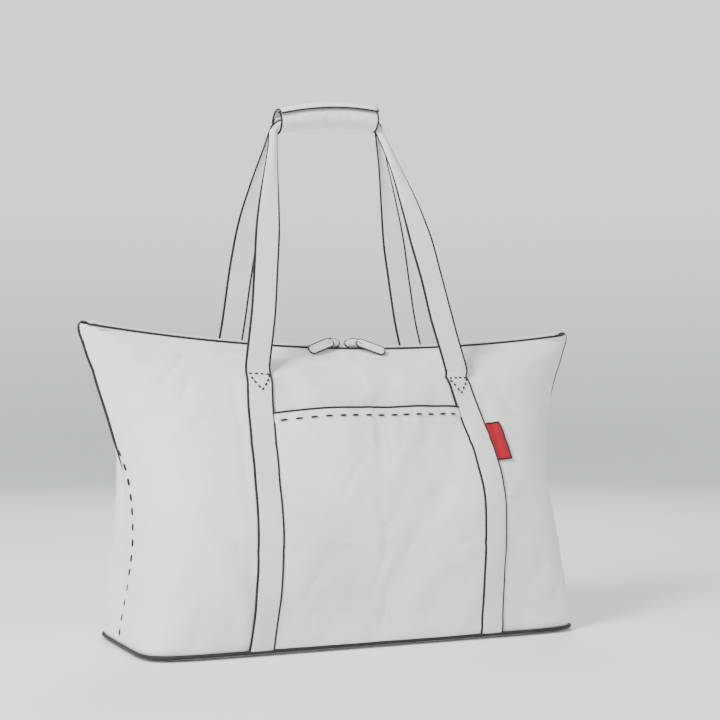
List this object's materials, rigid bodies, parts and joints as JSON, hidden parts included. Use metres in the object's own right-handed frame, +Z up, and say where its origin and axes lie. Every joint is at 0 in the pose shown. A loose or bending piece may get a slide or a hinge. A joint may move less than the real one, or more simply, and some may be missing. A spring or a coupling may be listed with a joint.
{
  "type": "foldable tote bag",
  "caption": "Zip-top foldable tote bag with flared ears, webbing handles in a wrap grip, a front slip pocket and a clip-on stow pouch behind.",
  "frame": {"origin": "middle of the base, on the surface the bag stands on", "axes": "+Z up, X along the width, the front with the slip pocket faces -Y"},
  "size_m": [0.647, 0.2734, 0.6494],
  "materials": {
    "cloth": "white coated polyester, fine plain weave, soft sheen",
    "webbing": "white ribbed polyester webbing, matt",
    "binding": "pale seam binding tape, matt",
    "zip": "white woven zip tape with a nylon coil",
    "metal": "grey die-cast metal, satin",
    "slider": "white enamelled die-cast zip sliders",
    "pull": "white moulded pull tabs",
    "tag": "plain red woven tag without lettering",
    "black_webbing": "black webbing, matt",
    "hook_and_loop": "hook-and-loop tape"
  },
  "bodies": {
    "bag": {"front_panel": "cloth", "back_panel": "cloth", "base_panel": "cloth", "front_pocket": "cloth", "side_seam_tape_left": "binding", "side_seam_tape_right": "binding", "front_strap_left": "webbing", "front_strap_right": "webbing", "back_strap_left": "webbing", "back_strap_right": "webbing", "keeper_loop": "webbing", "zip_coil_front": "zip", "zip_coil_back": "zip", "zip_tape_front": "zip", "zip_tape_back": "zip", "zip_stop_left": "zip", "zip_stop_right": "zip", "side_tag": "tag"},
    "handle": {"front_loop_top": "webbing", "back_loop_top": "webbing", "grip_wrap": "cloth", "grip_loop_strip": "hook_and_loop", "front_limb_left": "webbing", "front_limb_right": "webbing", "back_limb_left": "webbing", "back_limb_right": "webbing"},
    "grip_flap": {"grip_flap": "cloth", "grip_hook_strip": "hook_and_loop"},
    "slider_left": {"zip_slider_left": "slider", "slider_bail_left": "slider"},
    "slider_right": {"zip_slider_right": "slider", "slider_bail_right": "slider"},
    "tab_left": {"pull_tab_left": "pull"},
    "tab_right": {"pull_tab_right": "pull"},
    "hook": {"snap_hook": "metal", "hook_swivel": "metal"},
    "gate": {"snap_hook_gate": "metal"},
    "ring": {"oval_ring": "metal"},
    "pouch": {"pouch_back": "cloth", "pouch_front": "cloth", "pouch_loop": "black_webbing", "pouch_tag": "tag"},
    "pouch_flap": {"pouch_flap": "cloth"}
  },
  "joints": [
    {"name": "handle_swing", "type": "hinge", "parent": "bag", "child": "handle", "pos_m": [0, 0, 0.312], "axis": [1, 0, 0], "range_deg": [-75, 75], "deforming": ["front_limb_left", "front_limb_right", "back_limb_left", "back_limb_right"]},
    {"name": "grip_flap_open", "type": "hinge", "parent": "handle", "child": "grip_flap", "pos_m": [-0.019, 0.01533, 0.61515], "axis": [-0.995, 0, -0.0995], "range_deg": [0, 110]},
    {"name": "zip_slide_left", "type": "hinge", "parent": "bag", "child": "slider_left", "pos_m": [0, 0, 2.57508], "axis": [0, 1, 0], "range_deg": [0, 7.2]},
    {"name": "zip_slide_right", "type": "hinge", "parent": "bag", "child": "slider_right", "pos_m": [0, 0, 2.57508], "axis": [0, -1, 0], "range_deg": [0, 7.2]},
    {"name": "pull_tab_left_lift", "type": "hinge", "parent": "slider_left", "child": "tab_left", "pos_m": [-0.01772, -0.0108, 0.35427], "axis": [-0.4193, 0.4631, 0.7809], "range_deg": [0, 100]},
    {"name": "pull_tab_right_lift", "type": "hinge", "parent": "slider_right", "child": "tab_right", "pos_m": [0.01772, -0.0108, 0.35427], "axis": [-0.4193, -0.4631, -0.7809], "range_deg": [0, 100]},
    {"name": "hook_swing", "type": "hinge", "parent": "bag", "child": "hook", "pos_m": [0, 0.0865, 0.307], "axis": [1, 0, 0], "range_deg": [0, 20]},
    {"name": "hook_gate_press", "type": "hinge", "parent": "hook", "child": "gate", "pos_m": [-0.0012, 0.09142, 0.28045], "axis": [0, 0.9833, 0.1822], "range_deg": [0, 18], "stiffness_Nm_per_rad": 0.02, "springref_deg": -17.19},
    {"name": "ring_swing", "type": "hinge", "parent": "hook", "child": "ring", "pos_m": [0, 0.09339, 0.26983], "axis": [1, 0, 0], "range_deg": [0, 15]},
    {"name": "pouch_swing", "type": "hinge", "parent": "ring", "child": "pouch", "pos_m": [0, 0.09565, 0.25764], "axis": [1, 0, 0], "range_deg": [0, 25]},
    {"name": "pouch_flap_open", "type": "hinge", "parent": "pouch", "child": "pouch_flap", "pos_m": [0, 0.10342, 0.24973], "axis": [1, 0, 0], "range_deg": [0, 80]}
  ]
}
